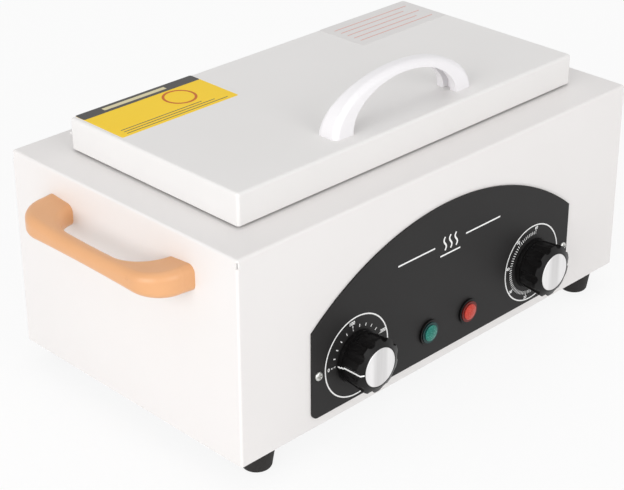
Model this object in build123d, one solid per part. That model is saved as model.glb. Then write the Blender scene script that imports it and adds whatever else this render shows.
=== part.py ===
from build123d import *
import os

# A bench-top dry heat sterilizer: a folded steel casing on four rubber feet, a hinged lid over a
# stainless chamber, and a front panel with a thermostat knob, a timer knob and two signal lamps.
# Millimetres. X runs along the panel, Y from front to back, Z up. The origin is under the middle
# of the whole object, on the surface that the feet stand on.

# Body casing and base plate
body_length = 340.0
body_depth = 198.0
body_height = 130.0
casing_sheet = 1.0
casing_fold_radius = 1.6
casing_flange = 24.0
corner_relief_radius = 0.9
corner_relief_height = 4.0
base_sheet = 1.2
base_inset = 4.0
base_vent_length = 46.0
base_vent_width = 4.0
base_vent_pitch = 10.0
base_vents_per_side = 5
rear_vent_height = 26.0
rear_vent_width = 4.0
rear_vent_pitch = 11.0
rear_vents = 7
rear_vent_rise = 30.0

# Feet
foot_height = 14.4
foot_top_radius = 11.0
foot_bottom_radius = 8.8
foot_edge_radius = 2.4
foot_bore_radius = 4.6
foot_web = 4.0
foot_inset_x = 23.0
foot_inset_y = 13.0

# Chamber, its insulation and its shield
chamber_end_margin = 41.0
chamber_side_margin = 46.0
chamber_length = body_length - 2 * chamber_end_margin
chamber_width = body_depth - 2 * chamber_side_margin
chamber_depth = 55.0
chamber_corner_radius = 12.0
chamber_floor_radius = 4.0
liner_sheet = 0.8
liner_rim = 8.0
insulation_thickness = 10.0
shield_sheet = 0.8
shield_flange = 9.0

# Instrument tray
tray_end_play = 11.0
tray_side_play = 9.0
tray_length = chamber_length - 2 * tray_end_play
tray_width = chamber_width - 2 * tray_side_play
tray_height = 20.0
tray_sheet = 0.8
tray_corner_radius = 9.0
tray_rim = 3.0
tray_foot_height = 4.0
tray_foot_radius = 4.0

# Heating element and temperature probe under the chamber floor
element_radius = 3.25
element_end_margin = 27.0
element_side_margin = 17.0
element_runs = 4
element_run = chamber_length / 2 - element_end_margin
element_pitch = (chamber_width - 2 * element_side_margin) / (element_runs - 1)
element_bend_radius = 11.0
element_tail = 12.0
clamp_width = 12.0
clamp_sheet = 1.0
probe_radius = 3.0
probe_length = 66.0
capillary_radius = 0.8
capillary_bend_radius = 5.0

# Lid
lid_end_overlap = 16.0
lid_side_overlap = 20.0
lid_length = chamber_length + 2 * lid_end_overlap
lid_depth = chamber_width + 2 * lid_side_overlap
lid_skirt = 19.6
lid_gap = 1.4
lid_sheet = 1.0
lid_edge_radius = 2.0
lid_pan_sheet = 0.8
lid_pan_rise = 1.0
lid_pan_rim = 7.0
lid_plug_drop = 4.0
lid_plug_margin = 4.0
seal_width = 6.0
seal_inset = 1.0

# Lid handle, a moulded bow that is hollow underneath
bow_span = 119.0
bow_height = 30.3
bow_foot_length = 14.5
bow_crown = 4.8
bow_foot_width = 16.0
bow_crown_width = 10.0
bow_wall = 2.2
bow_edge_radius = 3.8
bow_boss_radius = 4.2
bow_front_inset = 18.5
bow_screw_share = 0.33

# Side handles
grip_length = 130.0
grip_height = 17.2
grip_middle_height = 10.6
grip_reach = 29.0
grip_thickness = 10.4
grip_foot_length = 23.0
grip_edge_radius = 4.8
grip_drop = 24.1
grip_screw_share = 0.45
grip_outer_shares = ((0.25, 0.985), (0.76, 0.89), (0.97, 0.66))
grip_inner_shares = ((0.72, 0.82), (1.0, 0.45))

# Hinges
hinge_length = 50.0
hinge_inset = 14.0
hinge_knuckle_radius = 3.0
hinge_pin_radius = 1.5
hinge_leaf = 1.2
hinge_base_reach = 17.0
hinge_lid_reach = 13.0
hinge_knuckles = 5
hinge_screw_share = 0.62

# Control panel
panel_end_margin = 53.6
panel_half_width = body_length / 2 - panel_end_margin
panel_bottom = 6.4
panel_side_top = 63.5
panel_peak = 106.0
panel_sheet = 1.2
panel_corner_radius = 4.5
panel_screw_inset = 4.8
panel_screw_x = panel_half_width - panel_screw_inset

# Knobs, thermostat and timer
knob_end_margin = 36.4
knob_axis_x = panel_half_width - knob_end_margin
knob_axis_rise = 34.5
knob_reach = 18.7
knob_skirt_radius = 16.6
knob_skirt_thickness = 2.4
knob_waist_radius = 15.9
knob_rim_radius = 17.2
knob_rim_slope = 2.2
knob_flutes = 10
knob_flute_depth = 2.0
knob_flute_radius = 3.4
knob_flute_rise = 1.6
knob_wall = 2.6
knob_hub_radius = 5.4
knob_cavity_depth = 10.0
knob_hub_roof = 2.0
knob_panel_gap = 0.8
cap_radius = 12.3
cap_thickness = 1.3
cap_edge_radius = 0.4
spindle_radius = 3.0
spindle_flat = 2.3
spindle_depth = 8.0
bushing_radius = 4.5
bushing_end = 0.6
control_nut_flats = 13.0
control_nut_height = 2.2
thermostat_width = 36.0
thermostat_depth = 26.0
thermostat_corner = 4.0
timer_width = 40.0
timer_depth = 28.0
timer_corner = 6.0
tab_width = 6.3
tab_sheet = 0.8
tab_length = 7.0

# Signal lamps
lamp_axis_x = 18.0
lamp_axis_rise = 24.4
lamp_flange_radius = 8.1
lamp_flange_thickness = 1.6
lamp_barrel_radius = 6.0
lamp_barrel_length = 22.0
lamp_lens_radius = 6.8
lamp_lens_reach = 2.2
lamp_dome = 1.2
lamp_rim_width = 1.5
lamp_stem_radius = 4.4
lamp_nut_radius = 8.4
lamp_nut_height = 3.0

# Mains entry, terminal block and cut-out
gland_end_margin = 52.0
gland_x = body_length / 2 - gland_end_margin
gland_rise = 26.0
gland_reach = 14.0
gland_barrel_radius = 7.8
gland_flats = 19.0
gland_bore_radius = 3.6
gland_collar = 1.0
gland_hex_share = 0.35
gland_dome_share = 0.6
gland_mouth_step = 1.5
gland_nut_flats = 20.0
gland_nut_height = 4.0
terminal_ways = 5
terminal_pitch = 10.0
terminal_depth = 18.0
terminal_height = 15.0
terminal_shift = 30.0
terminal_inset = 40.0
terminal_slit = 1.2
terminal_slit_share = 0.6
terminal_hole_share = 0.4
terminal_hole_radius = 2.2
terminal_ear_height = 3.75
cutout_radius = 9.0
cutout_height = 9.0
cutout_strap = 1.0
cutout_strap_share = 1.9

# Screws
small_screw_radius = 1.5
small_head_radius = 2.8
small_head_height = 1.5
large_screw_radius = 2.0
large_head_radius = 3.8
large_head_height = 2.2
recess_length_share = 1.3
recess_width_share = 0.3
recess_depth_share = 0.65
screw_nut_flats = 7.0
screw_nut_height = 3.0
screw_end = 2.0
base_screw_inset = 12.0

# Clearances
hole_clearance = 0.2
running_clearance = 0.05
seat_gap = 0.3
slip_gap = 0.2

# Levels
z_base = foot_height
z_body = z_base + base_sheet
z_top = z_body + body_height
z_casing_under = z_top - casing_sheet
z_rim = z_top + liner_sheet
z_chamber_floor = z_rim - chamber_depth
z_liner_under = z_chamber_floor - liner_sheet
z_element = z_liner_under - slip_gap - element_radius
z_blanket_floor = z_element - element_radius - clamp_sheet - slip_gap
z_shield_floor = z_blanket_floor - insulation_thickness
z_shield_under = z_shield_floor - shield_sheet
z_lid_bottom = z_top + lid_gap
z_lid_top = z_lid_bottom + lid_skirt
z_lid_under = z_lid_top - lid_sheet
z_pan = z_lid_bottom + lid_pan_rise
z_plug = z_top - lid_plug_drop
z_knob = z_body + knob_axis_rise
z_lamp = z_body + lamp_axis_rise
z_grip = z_top - grip_drop
z_gland = z_body + gland_rise

# Places along X and Y
x_side = body_length / 2
front_reach = panel_sheet + knob_reach
y_front = front_reach - (front_reach + body_depth + gland_reach) / 2
y_rear = y_front + body_depth
y_mid = (y_front + y_rear) / 2
y_front_inner = y_front + casing_sheet
y_rear_inner = y_rear - casing_sheet
y_panel = y_front - panel_sheet
y_cap = y_panel - knob_reach
y_lid_front = y_mid - lid_depth / 2
y_lid_rear = y_mid + lid_depth / 2
y_bow = y_lid_front + bow_front_inset
liner_length = chamber_length + 2 * liner_sheet
liner_width = chamber_width + 2 * liner_sheet
blanket_length = liner_length + 2 * insulation_thickness
blanket_width = liner_width + 2 * insulation_thickness
shield_length = blanket_length + 2 * (slip_gap + shield_sheet)
shield_width = blanket_width + 2 * (slip_gap + shield_sheet)
foot_x = x_side - foot_inset_x
foot_ys = (y_front + foot_inset_y, y_rear - foot_inset_y)
terminal_x = gland_x - terminal_shift
terminal_y = y_rear - terminal_inset
terminal_z = z_body


def block(x0, x1, y0, y1, z0, z1):
    return Pos((x0 + x1) / 2, (y0 + y1) / 2, (z0 + z1) / 2) * Box(x1 - x0, y1 - y0, z1 - z0)


def slab(x, y, length, width, radius, z0, z1):
    return extrude(Pos(x, y, z0) * RectangleRounded(length, width, radius), z1 - z0)


def rod_x(x0, x1, y, z, radius):
    return Pos((x0 + x1) / 2, y, z) * Rot(0, 90, 0) * Cylinder(radius, x1 - x0)


def rod_y(x, y0, y1, z, radius):
    return Pos(x, (y0 + y1) / 2, z) * Rot(90, 0, 0) * Cylinder(radius, y1 - y0)


def rod_z(x, y, z0, z1, radius):
    return Pos(x, y, (z0 + z1) / 2) * Cylinder(radius, z1 - z0)


# A turned piece: a closed profile of (radius, height) points spun about its own Z axis
def turned(points):
    face = Plane.XZ * make_face(Polyline(*points, close=True))
    return revolve(face, Axis.Z)


def hexagon(flats, height):
    return extrude(RegularPolygon(flats / 2, 6, major_radius=False), height)


def cut_all(solid, tools):
    for tool in tools:
        solid = solid - tool
    return solid


# A pan-head screw that points down its own Z axis, with a cross-recessed head above z = 0
def pan_screw(radius, head_radius, head_height, length):
    head = Pos(0, 0, head_height / 2) * Cylinder(head_radius, head_height)
    head = fillet(head.edges().group_by(Axis.Z)[-1], head_height * 0.6)
    long_side = head_radius * recess_length_share
    short_side = head_radius * recess_width_share
    depth = head_height * recess_depth_share
    head -= Pos(0, 0, head_height) * Box(long_side, short_side, 2 * depth)
    head -= Pos(0, 0, head_height) * Box(short_side, long_side, 2 * depth)
    return head + Pos(0, 0, -length / 2) * Cylinder(radius, length)


def small_screw(length):
    return pan_screw(small_screw_radius, small_head_radius, small_head_height, length)


def large_screw(length):
    return pan_screw(large_screw_radius, large_head_radius, large_head_height, length)


# A rounded slot cut through a plate, long side along its own Y axis
def slot_tool(length, width, depth):
    return extrude(Rot(0, 0, 90) * SlotOverall(length, width), depth / 2, both=True)


# The places that several pieces share
def base_screw_places():
    x = x_side - base_screw_inset
    y = body_depth / 2 - base_screw_inset
    places = [(-x, y_mid), (x, y_mid)]
    for side in (-1, 1):
        for share in (-1, 1):
            places.append((share * body_length / 6, y_mid + side * y))
    return places


def foot_places():
    return [(side * foot_x, y) for y in foot_ys for side in (-1, 1)]


def grip_screw_ys():
    reach = (grip_length - grip_foot_length) / 2
    return (y_mid - reach, y_mid + reach)


def bow_screw_xs():
    reach = (bow_span - bow_foot_length) / 2
    return (-reach, reach)


def hinge_centres():
    x = lid_length / 2 - hinge_inset - hinge_length / 2
    return {"left": -x, "right": x}


def hinge_axis():
    clear = hinge_knuckle_radius + seat_gap
    return y_lid_rear + clear, z_top + clear


def hinge_screw_reach():
    return hinge_length / 2 - 2 * small_head_radius


def hinge_base_screw_xs(centre):
    return (centre - hinge_screw_reach(), centre, centre + hinge_screw_reach())


# The lid's screws stand between those of the base, so that the rows pass each other when it opens
def hinge_lid_screw_xs(centre):
    return (centre - hinge_screw_reach() / 2, centre + hinge_screw_reach() / 2)


def hinge_base_screw_y():
    return hinge_axis()[0] + hinge_base_reach * hinge_screw_share


def hinge_lid_screw_z():
    return z_lid_bottom + hinge_lid_reach * hinge_screw_share


def terminal_screw_xs():
    reach = terminal_ways * terminal_pitch / 2 + large_head_radius
    return (terminal_x - reach, terminal_x + reach)


# Outer casing: one folded sheet with a flange turned in below and a relief at each top corner
def outer_casing():
    outer = block(-x_side, x_side, y_front, y_rear, z_body, z_top)
    outer = fillet(outer.edges().filter_by(Axis.Z) + outer.edges().group_by(Axis.Z)[-1], casing_fold_radius)
    inner = block(
        -x_side + casing_sheet, x_side - casing_sheet, y_front_inner, y_rear_inner,
        z_body + casing_sheet, z_casing_under)
    inner_radius = max(casing_fold_radius - casing_sheet, 0.2)
    inner = fillet(inner.edges().filter_by(Axis.Z) + inner.edges().group_by(Axis.Z)[-1], inner_radius)
    shell = outer - inner
    shell -= block(
        -x_side + casing_flange, x_side - casing_flange, y_front + casing_flange, y_rear - casing_flange,
        z_body - 1, z_body + casing_sheet + 1)
    opening_margin = 2 * slip_gap
    shell -= slab(
        0, y_mid, liner_length + opening_margin, liner_width + opening_margin,
        chamber_corner_radius + liner_sheet, z_casing_under - 1, z_top + 1)
    tools = []
    for x in (-x_side, x_side):
        for y in (y_front, y_rear):
            z_relief = z_top - casing_fold_radius
            tools.append(rod_z(x, y, z_relief - corner_relief_height, z_relief, casing_fold_radius / 2
                               + corner_relief_radius))
    for x in (-knob_axis_x, knob_axis_x):
        tools.append(rod_y(x, y_front - 1, y_front_inner + 1, z_knob, bushing_radius + hole_clearance))
    for x in (-lamp_axis_x, lamp_axis_x):
        tools.append(rod_y(x, y_front - 1, y_front_inner + 1, z_lamp, lamp_barrel_radius + hole_clearance))
    for x in (-panel_screw_x, panel_screw_x):
        tools.append(rod_y(x, y_front - 1, y_front_inner + 1, z_knob, small_screw_radius + hole_clearance))
    for y in grip_screw_ys():
        hole = large_screw_radius + hole_clearance
        tools.append(rod_x(-x_side - 1, -x_side + casing_sheet + 1, y, z_grip, hole))
        tools.append(rod_x(x_side - casing_sheet - 1, x_side + 1, y, z_grip, hole))
    tools.append(rod_y(gland_x, y_rear_inner - 1, y_rear + 1, z_gland, gland_barrel_radius + hole_clearance))
    for i in range(rear_vents):
        x = (i - (rear_vents - 1) / 2) * rear_vent_pitch
        vent = Rot(90, 0, 0) * slot_tool(rear_vent_height, rear_vent_width, 4 * casing_sheet)
        tools.append(Pos(x, y_rear - casing_sheet / 2, z_body + rear_vent_rise) * vent)
    for centre in hinge_centres().values():
        for x in hinge_base_screw_xs(centre):
            hole = small_screw_radius + hole_clearance
            tools.append(rod_z(x, hinge_base_screw_y(), z_casing_under - 1, z_top + 1, hole))
    for x, y in base_screw_places():
        tools.append(rod_z(x, y, z_body - 1, z_body + casing_sheet + 1, small_screw_radius + hole_clearance))
    for x, y in foot_places():
        tools.append(rod_z(x, y, z_body - 1, z_body + casing_sheet + 1, large_screw_radius + hole_clearance))
    return cut_all(shell, tools)


# Base plate: a flat sheet under the casing flange, with two groups of air slots
def base_plate():
    plate = slab(
        0, y_mid, body_length - 2 * base_inset, body_depth - 2 * base_inset, casing_fold_radius,
        z_base, z_body)
    tools = []
    for side in (-1, 1):
        for i in range(base_vents_per_side):
            x = side * (body_length / 4 + (i - (base_vents_per_side - 1) / 2) * base_vent_pitch)
            tools.append(Pos(x, y_mid, z_base) * slot_tool(base_vent_length, base_vent_width, 4 * base_sheet))
    for x, y in base_screw_places():
        tools.append(rod_z(x, y, z_base - 1, z_body + 1, small_screw_radius + hole_clearance))
    for x, y in foot_places():
        tools.append(rod_z(x, y, z_base - 1, z_body + 1, large_screw_radius + hole_clearance))
    for x in terminal_screw_xs():
        tools.append(rod_z(x, terminal_y, z_base - 1, z_body + 1, small_screw_radius + hole_clearance))
    return cut_all(plate, tools)


# A rubber foot: a tapered cone with a deep bore for its screw
def rubber_foot(x, y):
    cone = turned([
        (0, 0), (foot_bottom_radius, 0), (foot_top_radius, foot_height), (0, foot_height)])
    cone = fillet(cone.edges().group_by(Axis.Z)[0], foot_edge_radius)
    cone -= rod_z(0, 0, -1, foot_height - foot_web, foot_bore_radius)
    cone -= rod_z(0, 0, -1, foot_height + 1, large_screw_radius + hole_clearance)
    return Pos(x, y, 0) * cone


def foot_screws():
    length = foot_web + base_sheet + casing_sheet + screw_nut_height + screw_end / 2
    z = foot_height - foot_web
    return [Pos(x, y, z) * Rot(180, 0, 0) * large_screw(length) for x, y in foot_places()]


def foot_nuts():
    z = z_body + casing_sheet
    nuts = []
    for x, y in foot_places():
        nut = hexagon(screw_nut_flats, screw_nut_height)
        nut -= rod_z(0, 0, -1, screw_nut_height + 1, large_screw_radius + running_clearance)
        nuts.append(Pos(x, y, z) * nut)
    return nuts


def base_screws():
    length = base_sheet + casing_sheet + screw_end
    return [Pos(x, y, z_base) * Rot(180, 0, 0) * small_screw(length) for x, y in base_screw_places()]


# Control panel: a flat plate with an arched top over two rounded lower corners
def control_panel():
    w, r = panel_half_width, panel_corner_radius
    low, high, peak = z_body + panel_bottom, z_body + panel_side_top, z_body + panel_peak
    outline = (
        Line((-w, high), (-w, low)) + Line((-w, low), (w, low)) + Line((w, low), (w, high))
        + ThreePointArc((w, high), (0, peak), (-w, high)))
    face = make_face(outline)
    face = fillet(face.vertices().group_by(Axis.Y)[0], r)
    plate = extrude(Plane.XZ.offset(-y_front) * face, panel_sheet)
    tools = []
    for x in (-knob_axis_x, knob_axis_x):
        tools.append(rod_y(x, y_panel - 1, y_front + 1, z_knob, bushing_radius + hole_clearance))
    for x in (-lamp_axis_x, lamp_axis_x):
        tools.append(rod_y(x, y_panel - 1, y_front + 1, z_lamp, lamp_barrel_radius + hole_clearance))
    for x in (-panel_screw_x, panel_screw_x):
        tools.append(rod_y(x, y_panel - 1, y_front + 1, z_knob, small_screw_radius + hole_clearance))
    return cut_all(plate, tools)


def panel_screws():
    length = panel_sheet + casing_sheet + screw_end
    screws = []
    for x in (-panel_screw_x, panel_screw_x):
        screws.append(Pos(x, y_panel, z_knob) * Rot(90, 0, 0) * small_screw(length))
    return screws


# Knob: a moulded shell with a skirt ring, long flutes, a sloped rim and a bored hub inside.
# It is drawn along +Z, with its open back at z = 0, and then laid on its side.
def knob():
    length = knob_reach - knob_panel_gap
    rim_z = length - knob_rim_slope
    body = turned([
        (0, 0), (knob_skirt_radius, 0), (knob_skirt_radius, knob_skirt_thickness),
        (knob_waist_radius, knob_skirt_thickness), (knob_rim_radius, rim_z),
        (cap_radius + cap_edge_radius, length), (0, length)])
    flute_reach = knob_rim_radius + knob_flute_radius - knob_flute_depth
    flute_start = knob_skirt_thickness + knob_flute_rise
    for i in range(knob_flutes):
        flute = rod_z(flute_reach, 0, flute_start, length + 1, knob_flute_radius)
        body -= Rot(0, 0, 360 * i / knob_flutes) * flute
    body -= rod_z(0, 0, length - cap_thickness, length + 1, cap_radius + running_clearance)
    cavity_radius = min(knob_waist_radius, knob_rim_radius - knob_flute_depth) - knob_wall
    cavity = rod_z(0, 0, -1, knob_cavity_depth, cavity_radius)
    hub_start = panel_nut_reach() + seat_gap - knob_panel_gap
    cavity -= rod_z(0, 0, hub_start, knob_cavity_depth + 1, knob_hub_radius)
    body -= cavity
    bore_top = hub_start + spindle_grip()
    body -= d_section(spindle_radius + running_clearance, spindle_flat + running_clearance, -1, bore_top)
    return body


# A round bar with one flat, as on a spindle and in its hub
def d_section(radius, flat, z0, z1):
    bar = rod_z(0, 0, z0, z1, radius)
    return bar - block(-2 * radius, 2 * radius, flat, 2 * radius, z0 - 1, z1 + 1)


# How far the bushing of a control stands out of the panel, a little beyond its nut
def panel_nut_reach():
    return control_nut_height + bushing_end


# How much of the spindle sits in the hub
def spindle_grip():
    return knob_reach - cap_thickness - panel_nut_reach() - seat_gap - knob_hub_roof


def on_panel(x, piece):
    return Pos(x, y_panel, z_knob) * Rot(90, 0, 0) * piece


def knob_at(x):
    return on_panel(x, Pos(0, 0, knob_panel_gap) * knob())


def cap_at(x):
    disc = rod_z(0, 0, knob_reach - cap_thickness, knob_reach, cap_radius)
    disc = fillet(disc.edges().group_by(Axis.Z)[-1], cap_edge_radius)
    return on_panel(x, disc)


def spindle_at(x):
    start = -panel_sheet - casing_sheet - spindle_depth
    end = panel_nut_reach() + seat_gap + spindle_grip() - slip_gap
    flat_start = panel_nut_reach() + seat_gap
    bar = rod_z(0, 0, start, flat_start, spindle_radius)
    bar += d_section(spindle_radius, spindle_flat, flat_start, end)
    return on_panel(x, bar)


def control_nut(x):
    nut = hexagon(control_nut_flats, control_nut_height)
    nut -= rod_z(0, 0, -1, control_nut_height + 1, bushing_radius + running_clearance)
    return on_panel(x, nut)


# A control behind the panel: its case, a bushing through both sheets and a blind hole for the spindle
def control_case(x, width, depth, corner):
    outline = Pos(x, z_knob) * RectangleRounded(width, width, corner)
    case = extrude(Plane.XZ.offset(-y_front_inner - depth) * outline, depth)
    case += rod_y(x, y_panel - panel_nut_reach(), y_front_inner + 1, z_knob, bushing_radius)
    spindle_end = y_front_inner + spindle_depth
    case -= rod_y(x, y_panel - knob_reach, spindle_end + slip_gap, z_knob, spindle_radius + running_clearance)
    return case


def push_on_tab(x, z, y):
    wide, thick = tab_width / 2, tab_sheet / 2
    return block(x - wide, x + wide, y, y + tab_length, z - thick, z + thick)


def thermostat_body():
    case = control_case(-knob_axis_x, thermostat_width, thermostat_depth - tab_length, thermostat_corner)
    rear = y_front_inner + thermostat_depth - tab_length
    for z in (z_knob - thermostat_width / 4, z_knob - thermostat_width / 10):
        case += push_on_tab(-knob_axis_x, z, rear)
    return case


def timer_body():
    case = control_case(knob_axis_x, timer_width, timer_depth - tab_length, timer_corner)
    rear = y_front_inner + timer_depth - tab_length
    for x in (knob_axis_x - timer_width / 4, knob_axis_x + timer_width / 4):
        case += push_on_tab(x, z_knob + timer_width / 4, rear)
    return case


# Signal lamp: a holder with a flange and a barrel, and a domed lens that plugs into it
def lamp_holder(x):
    inner = lamp_stem_radius + running_clearance
    lens = lamp_lens_radius + running_clearance
    seat = lamp_flange_thickness / 2
    end = -panel_sheet - casing_sheet - lamp_barrel_length
    holder = turned([
        (0, end), (lamp_barrel_radius, end), (lamp_barrel_radius, 0), (lamp_flange_radius, 0),
        (lamp_flange_radius, lamp_flange_thickness), (lens, lamp_flange_thickness), (lens, seat),
        (inner, seat), (inner, -lamp_lens_radius), (0, -lamp_lens_radius)])
    for side in (-1, 1):
        holder += block(
            side * lamp_barrel_radius / 2 - tab_sheet / 2, side * lamp_barrel_radius / 2 + tab_sheet / 2,
            -tab_width / 4, tab_width / 4, end - tab_length, end + 1)
    return Pos(x, y_panel, z_lamp) * Rot(90, 0, 0) * holder


def lamp_lens(x):
    seat = lamp_flange_thickness / 2
    lens = rod_z(0, 0, seat, lamp_lens_reach, lamp_lens_radius)
    dome_radius = (lamp_lens_radius ** 2 + lamp_dome ** 2) / (2 * lamp_dome)
    dome = Pos(0, 0, lamp_lens_reach + lamp_dome - dome_radius) * Sphere(dome_radius)
    keep = rod_z(0, 0, lamp_lens_reach, lamp_lens_reach + 2 * lamp_dome, lamp_lens_radius - lamp_rim_width)
    lens += dome & keep
    lens += rod_z(0, 0, -lamp_lens_radius + slip_gap, seat + 0.1, lamp_stem_radius)
    return Pos(x, y_panel, z_lamp) * Rot(90, 0, 0) * lens


def lamp_nuts():
    nuts = []
    for x in (-lamp_axis_x, lamp_axis_x):
        end = y_front_inner + lamp_nut_height
        nut = rod_y(x, y_front_inner, end, z_lamp, lamp_nut_radius)
        nut -= rod_y(x, y_front, end + 1, z_lamp, lamp_barrel_radius + running_clearance)
        nuts.append(nut)
    return nuts


# The handle seen from the side of the casing: highest at its feet, lowest in the middle of the bar
def grip_side_outline():
    half, edge, middle = grip_length / 2, grip_height / 2, grip_middle_height / 2
    outline = ThreePointArc((-half, edge), (0, middle), (half, edge)) + Line((half, edge), (half, -edge))
    outline += ThreePointArc((half, -edge), (0, -middle), (-half, -edge))
    outline += Line((-half, -edge), (-half, edge))
    return make_face(outline)


# True for an edge that runs along the handle above or below, away from the casing
def is_long_grip_edge(edge):
    point = edge @ 0.5
    return point.X > seat_gap and abs(point.Z) > grip_middle_height / 4


# The same point on the other half of a handle
def below(point):
    return (point[0], -point[1])


# Side handle: a moulded bow with solid feet and full round edges, standing out along -X or +X
def side_handle(side):
    half, foot = grip_length / 2, grip_length / 2 - grip_foot_length
    inner_reach = grip_reach - grip_thickness
    outer = [(grip_reach * reach_share, half * half_share) for reach_share, half_share in grip_outer_shares]
    inner = [(inner_reach * reach_share, foot * foot_share) for reach_share, foot_share in grip_inner_shares]
    outline = Line((0, -half), below(outer[0])) + Line(outer[0], (0, half))
    outline += ThreePointArc(below(outer[0]), below(outer[1]), below(outer[2]))
    outline += ThreePointArc(below(outer[2]), (grip_reach, 0), outer[2])
    outline += ThreePointArc(outer[2], outer[1], outer[0])
    outline += Line((0, half), (0, foot)) + Line((0, -foot), (0, -half))
    outline += ThreePointArc((0, foot), inner[0], inner[1])
    outline += Line(inner[1], below(inner[1]))
    outline += ThreePointArc(below(inner[1]), below(inner[0]), (0, -foot))
    bow = extrude(make_face(outline), grip_height / 2, both=True)
    bow = bow & extrude(Plane.YZ * grip_side_outline(), grip_reach + 1)
    bow = fillet([e for e in bow.edges() if is_long_grip_edge(e)], grip_edge_radius)
    hole = large_screw_radius + running_clearance
    for y in grip_screw_ys():
        bow -= rod_x(-1, grip_screw_depth(), y - y_mid, 0, hole)
    if side < 0:
        bow = mirror(bow, Plane.YZ)
    return Pos(side * x_side, y_mid, z_grip) * bow


def grip_screw_depth():
    return grip_reach * grip_screw_share


def handle_screws():
    screws = []
    length = casing_sheet + grip_screw_depth() - seat_gap
    for y in grip_screw_ys():
        screws.append(Pos(-x_side + casing_sheet, y, z_grip) * Rot(0, 90, 0) * large_screw(length))
        screws.append(Pos(x_side - casing_sheet, y, z_grip) * Rot(0, -90, 0) * large_screw(length))
    return screws


# Chamber liner: a drawn stainless pan whose rim lies on the casing top
def chamber_liner():
    outer = slab(
        0, y_mid, liner_length, liner_width, chamber_corner_radius + liner_sheet, z_liner_under, z_rim)
    outer = fillet(outer.edges().group_by(Axis.Z)[0], chamber_floor_radius + liner_sheet)
    inner = slab(0, y_mid, chamber_length, chamber_width, chamber_corner_radius, z_chamber_floor, z_rim + 1)
    inner = fillet(inner.edges().group_by(Axis.Z)[0], chamber_floor_radius)
    rim = slab(
        0, y_mid, liner_length + 2 * liner_rim, liner_width + 2 * liner_rim,
        chamber_corner_radius + liner_sheet + liner_rim, z_top, z_rim)
    return outer + rim - inner


# Instrument tray: a shallow pressed tray with a turned-out rim and four pressed feet
def instrument_tray():
    z0 = z_chamber_floor + tray_foot_height
    z1 = z0 + tray_height
    outer = slab(0, y_mid, tray_length, tray_width, tray_corner_radius, z0, z1)
    inner = slab(
        0, y_mid, tray_length - 2 * tray_sheet, tray_width - 2 * tray_sheet, tray_corner_radius - tray_sheet,
        z0 + tray_sheet, z1 + 1)
    rim = slab(
        0, y_mid, tray_length + 2 * tray_rim, tray_width + 2 * tray_rim, tray_corner_radius + tray_rim,
        z1 - tray_sheet, z1)
    tray = outer + rim - inner
    foot_x_reach = tray_length / 2 - 2 * tray_corner_radius
    foot_y_reach = tray_width / 2 - 2 * tray_corner_radius
    for x in (-foot_x_reach, foot_x_reach):
        for y in (y_mid - foot_y_reach, y_mid + foot_y_reach):
            tray += rod_z(x, y, z_chamber_floor, z0 + tray_sheet / 2, tray_foot_radius)
    return tray


# Heating element: one metal-sheathed tube that runs four times under the chamber floor
def element_path():
    z_low = z_shield_under - element_tail
    y = [y_mid + (i - (element_runs - 1) / 2) * element_pitch for i in range(element_runs)]
    points = [
        (-element_run, y[0], z_low), (-element_run, y[0], z_element), (element_run, y[0], z_element),
        (element_run, y[1], z_element), (-element_run + element_pitch, y[1], z_element),
        (-element_run + element_pitch, y[2], z_element), (element_run, y[2], z_element),
        (element_run, y[3], z_element), (-element_run, y[3], z_element), (-element_run, y[3], z_low)]
    return FilletPolyline(*points, radius=element_bend_radius)


def heating_element():
    path = element_path()
    section = Plane(origin=path @ 0, z_dir=path % 0) * Circle(element_radius)
    return sweep(section, path)


def element_clamps():
    half = element_half_spread() + element_radius + clamp_width / 2
    z0 = z_element - element_radius - clamp_sheet
    clamps = []
    for x in (-element_run / 2, element_run / 2):
        x0, x1 = x - clamp_width / 2, x + clamp_width / 2
        strip = block(x0, x1, y_mid - half, y_mid + half, z0, z0 + clamp_sheet)
        for y in (y_mid - half, y_mid + half - clamp_sheet):
            strip += block(x0, x1, y, y + clamp_sheet, z0, z_liner_under)
        clamps.append(strip)
    return clamps


# How far the outer runs of the element lie from the middle of the chamber
def element_half_spread():
    return element_pitch * (element_runs - 1) / 2


def element_holes(z0, z1):
    clear = element_radius + hole_clearance
    return [rod_z(-element_run, y_mid + side * element_half_spread(), z0, z1, clear) for side in (-1, 1)]


# Room in the blanket for the bend of each tail, which is not yet upright where it enters the wool
def element_bend_pockets():
    clear = element_radius + hole_clearance
    length = element_bend_radius + 2 * clear
    pockets = []
    for side in (-1, 1):
        x, y = -element_run - clear + length / 2, y_mid + side * element_half_spread()
        pockets.append(slab(x, y, length, 2 * clear, clear * 0.9, z_element - element_bend_radius, z_element))
    return pockets


# Mineral-wool blanket round the chamber, with room below the floor for the element
def chamber_insulation():
    z_under_casing = z_casing_under - shield_sheet
    blanket = slab(
        0, y_mid, blanket_length, blanket_width, chamber_corner_radius + insulation_thickness, z_shield_floor,
        z_under_casing - slip_gap)
    blanket -= slab(
        0, y_mid, liner_length + 2 * slip_gap, liner_width + 2 * slip_gap, chamber_corner_radius + liner_sheet,
        z_blanket_floor, z_top)
    tools = element_holes(z_shield_floor - 1, z_blanket_floor + 1) + element_bend_pockets() + [probe_hole()]
    return cut_all(blanket, tools)


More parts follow.
